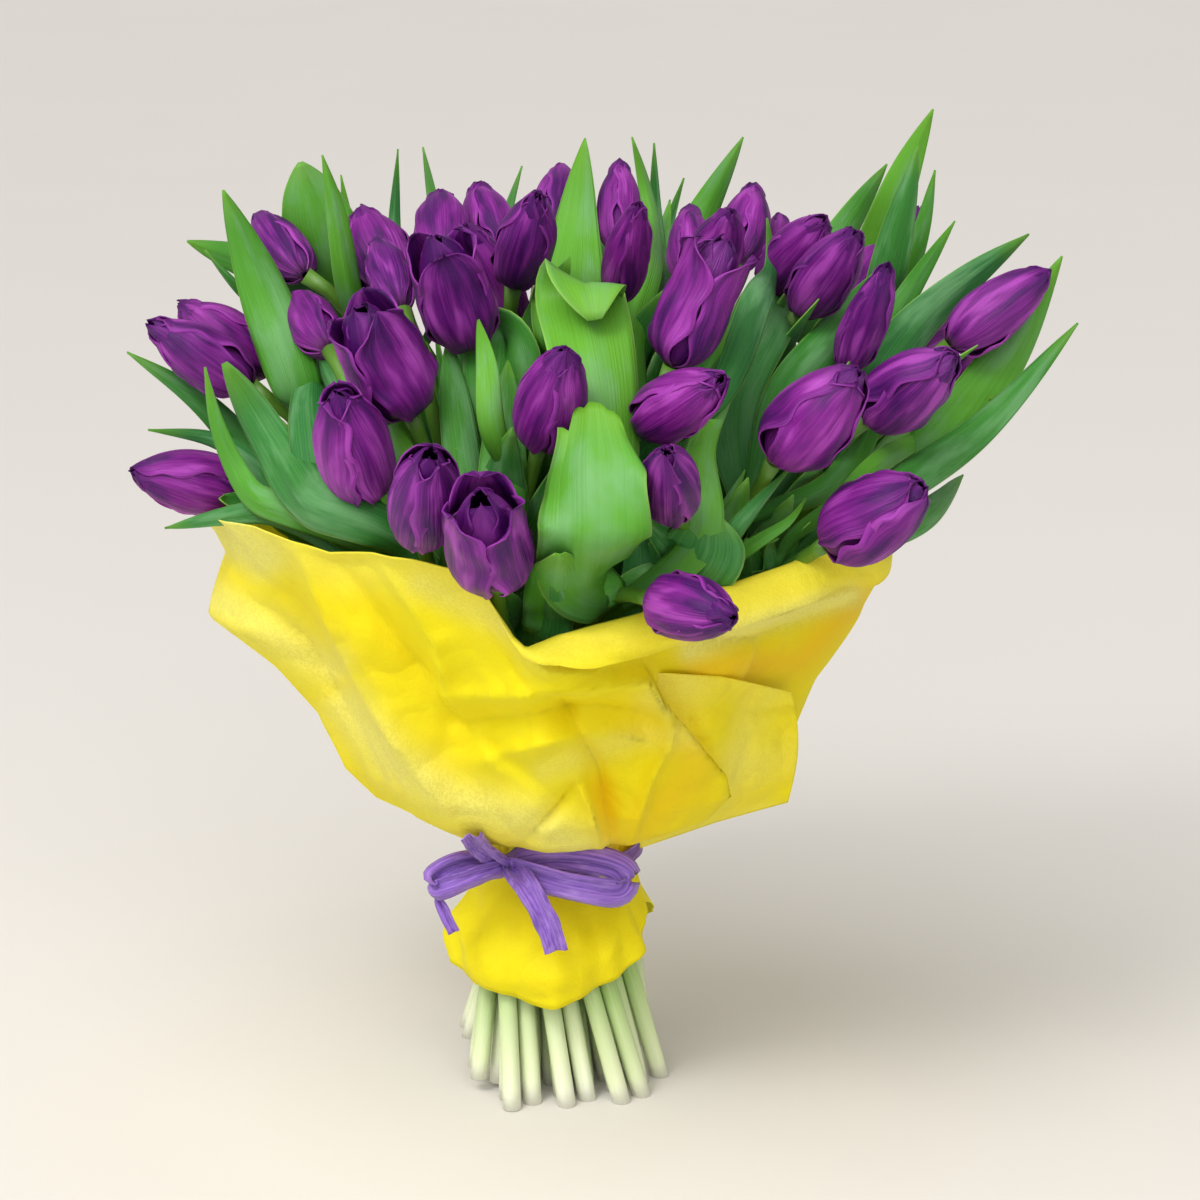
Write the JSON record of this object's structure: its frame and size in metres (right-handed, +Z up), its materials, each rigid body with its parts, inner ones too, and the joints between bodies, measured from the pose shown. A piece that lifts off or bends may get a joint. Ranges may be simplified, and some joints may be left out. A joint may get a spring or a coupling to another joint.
{
  "type": "bunch of tulips",
  "caption": "Hand-tied bunch of purple tulips with green leaves in a yellow fibre wrap, tied with a violet raffia bow, standing on its cut stems.",
  "frame": {"origin": "middle of the bunch's footprint on the surface it stands on", "axes": "+Z up, +Y from the front of the bunch, where the bow is, towards its back, +X to the right as seen from the front"},
  "size_m": [0.4688, 0.3968, 0.4803],
  "materials": {
    "petal": "satin",
    "leaf": "satin",
    "wrap": "matte",
    "raffia": "matte"
  },
  "bodies": {
    "root": {"bloom_01": "petal", "bloom_02": "petal", "bloom_03": "petal", "bloom_04": "petal", "bloom_05": "petal", "bloom_06": "petal", "bloom_07": "petal", "bloom_08": "petal", "bloom_09": "petal", "bloom_10": "petal", "bloom_11": "petal", "bloom_12": "petal", "bloom_13": "petal", "bloom_14": "petal", "bloom_15": "petal", "bloom_16": "petal", "bloom_17": "petal", "bloom_18": "petal", "bloom_19": "petal", "bloom_20": "petal", "bloom_21": "petal", "bloom_22": "petal", "bloom_23": "petal", "bloom_24": "petal", "bloom_25": "petal", "bloom_26": "petal", "bloom_27": "petal", "bloom_28": "petal", "bloom_29": "petal", "bloom_30": "petal", "bloom_31": "petal", "bloom_32": "petal", "bloom_33": "petal", "bloom_34": "petal", "bloom_35": "petal", "bloom_36": "petal", "bloom_37": "petal", "bloom_38": "petal", "bloom_39": "petal", "bloom_40": "petal", "bloom_41": "petal", "bloom_42": "petal", "leafy_stems_01": "leaf", "leafy_stems_02": "leaf", "leafy_stems_03": "leaf", "leafy_stems_04": "leaf", "leafy_stems_05": "leaf", "raffia_bow": "raffia", "wrap": "wrap"}
  },
  "joints": []
}
